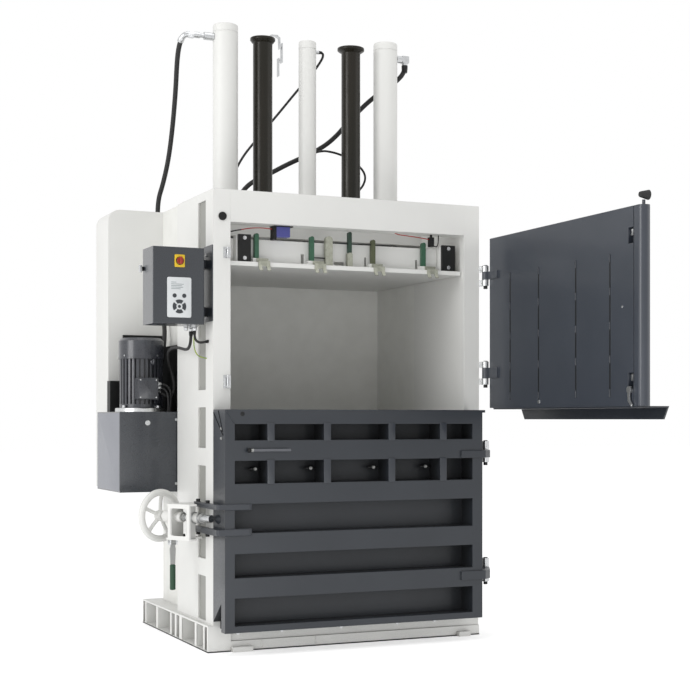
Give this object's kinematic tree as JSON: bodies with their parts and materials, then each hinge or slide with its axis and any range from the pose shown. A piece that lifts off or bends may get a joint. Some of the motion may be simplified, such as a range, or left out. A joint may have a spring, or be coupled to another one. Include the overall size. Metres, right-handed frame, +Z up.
{
  "type": "recycling baler",
  "caption": "Upright baling press: steel frame, tall cylinders and guide rods over a ram, open upper side-hung door, a ribbed lower door with handwheel lock, side cabinet and control box.",
  "frame": {"origin": "on the floor under the middle of the base between the two side frames", "axes": "+X to the machine's right seen from the front, +Y into the depth, +Z up"},
  "size_m": [1.8375, 2.681, 2.987],
  "materials": {
    "paint_white": "semi-gloss",
    "paint_grey": "semi-gloss",
    "paint_anthracite": "satin",
    "bright_steel": "zinc plated",
    "black_plastic": "matte",
    "sensor_blue": "matte",
    "black_steel": "satin",
    "motor_grey": "satin",
    "hose_rubber": "matte",
    "green_plastic": "matte",
    "chromed_rod": "polished",
    "guide_dark": "satin",
    "skirt_dark": "satin",
    "green_grip": "matte",
    "white_plastic": "gloss",
    "yellow_plastic": "gloss",
    "red_plastic": "gloss"
  },
  "bodies": {
    "frame": {"base_frame": "paint_white", "left_side_frame": "paint_white", "right_side_frame": "paint_white", "front_lintel": "paint_white", "chamber_walls": "paint_white", "chamber_floor": "paint_grey", "crosshead": "paint_white", "cylinder_barrels": "paint_white", "guide_bushes": "bright_steel", "hydraulic_fittings": "bright_steel", "lintel_sensor": "sensor_blue", "lintel_plug": "black_plastic", "door_catches": "bright_steel", "hinge_brackets": "bright_steel", "hinge_pins": "black_steel", "lock_bracket": "paint_white", "lever_pivot": "bright_steel", "control_box": "paint_anthracite", "box_bracket": "paint_anthracite", "cable_glands": "bright_steel", "tank_cabinet": "paint_anthracite", "cabinet_cover": "paint_anthracite", "oil_unit": "black_steel", "oil_filter": "black_plastic", "finned_motor": "motor_grey", "terminal_box": "motor_grey", "fan_cowl": "motor_grey", "rear_housing": "paint_white", "left_hose": "hose_rubber", "middle_hose": "hose_rubber", "right_hose": "hose_rubber", "motor_cable": "hose_rubber", "pump_hose": "hose_rubber", "frame_screws": "bright_steel"},
    "ram": {"platen": "paint_white", "guide_blocks": "black_plastic", "strap_guides": "green_plastic", "strap_clips": "bright_steel", "piston_rods": "chromed_rod", "guide_rods": "guide_dark", "trip_strip": "bright_steel"},
    "lower_door": {"lower_door": "paint_anthracite", "lower_door_fittings": "bright_steel", "lock_arms": "paint_anthracite"},
    "upper_door": {"upper_door": "paint_anthracite", "door_skirt": "skirt_dark", "door_buffer": "hose_rubber"},
    "door_lever": {"door_lever": "bright_steel"},
    "handwheel": {"handwheel": "paint_white"},
    "lock_bolt": {"lock_bolt": "bright_steel"},
    "release_lever": {"release_lever": "bright_steel", "lever_grip": "green_grip"},
    "control_box_door": {"control_box_door": "paint_anthracite", "keypad": "white_plastic", "switch_plate": "yellow_plastic"},
    "main_switch": {"main_switch": "red_plastic"},
    "box_latch": {"box_latch": "bright_steel"},
    "cabinet_lock": {"cabinet_lock": "bright_steel"},
    "motor_fan": {"motor_fan": "black_plastic"}
  },
  "joints": [
    {"name": "ram_press", "type": "slide", "parent": "frame", "child": "ram", "axis": [0, 0, -1], "range_m": [0, 0.8]},
    {"name": "lower_door_hinge", "type": "hinge", "parent": "frame", "child": "lower_door", "pos_m": [0.6965, -0.585, 0.6], "axis": [0, 0, 1], "range_deg": [0, 90]},
    {"name": "upper_door_hinge", "type": "hinge", "parent": "frame", "child": "upper_door", "pos_m": [0.6965, -0.585, 1.5], "axis": [0, 0, 1], "range_deg": [-90, 80]},
    {"name": "door_lever_turn", "type": "hinge", "parent": "upper_door", "child": "door_lever", "pos_m": [0.7, -1.842, 1.172], "axis": [1, 0, 0], "range_deg": [0, 60]},
    {"name": "handwheel_turn", "type": "hinge", "parent": "frame", "child": "handwheel", "pos_m": [-0.8355, -0.265, 0.605], "axis": [0.4067, -0.9135, 0], "range_deg": [0, 1800]},
    {"name": "lock_bolt_slide", "type": "slide", "parent": "frame", "child": "lock_bolt", "axis": [0.4067, -0.9135, 0], "range_m": [0, 0.0751]},
    {"name": "release_lever_swing", "type": "hinge", "parent": "frame", "child": "release_lever", "pos_m": [-0.8, -0.35, 0.489], "axis": [1, 0, 0], "range_deg": [-60, 0]},
    {"name": "control_box_door_hinge", "type": "hinge", "parent": "frame", "child": "control_box_door", "pos_m": [-0.7135, -0.548, 1.646], "axis": [0, 0, 1], "range_deg": [0, 100]},
    {"name": "main_switch_turn", "type": "hinge", "parent": "control_box_door", "child": "main_switch", "pos_m": [-0.8285, -0.56, 1.755], "axis": [0, -1, 0], "range_deg": [0, 90]},
    {"name": "box_latch_turn", "type": "hinge", "parent": "frame", "child": "box_latch", "pos_m": [-0.9495, -0.403, 1.729], "axis": [-1, 0, 0], "range_deg": [0, 90]},
    {"name": "cabinet_lock_turn", "type": "hinge", "parent": "frame", "child": "cabinet_lock", "pos_m": [-0.818, 0.021, 1.033], "axis": [0, -1, 0], "range_deg": [0, 90]},
    {"name": "fan_spin", "type": "hinge", "parent": "frame", "child": "motor_fan", "pos_m": [-0.79, 0.245, 1.36], "axis": [0, 0, 1], "continuous": true}
  ],
  "couplings": [
    {"joint": "lock_bolt_slide", "follows": "handwheel_turn", "m_per_rad": 0.0023873}
  ]
}
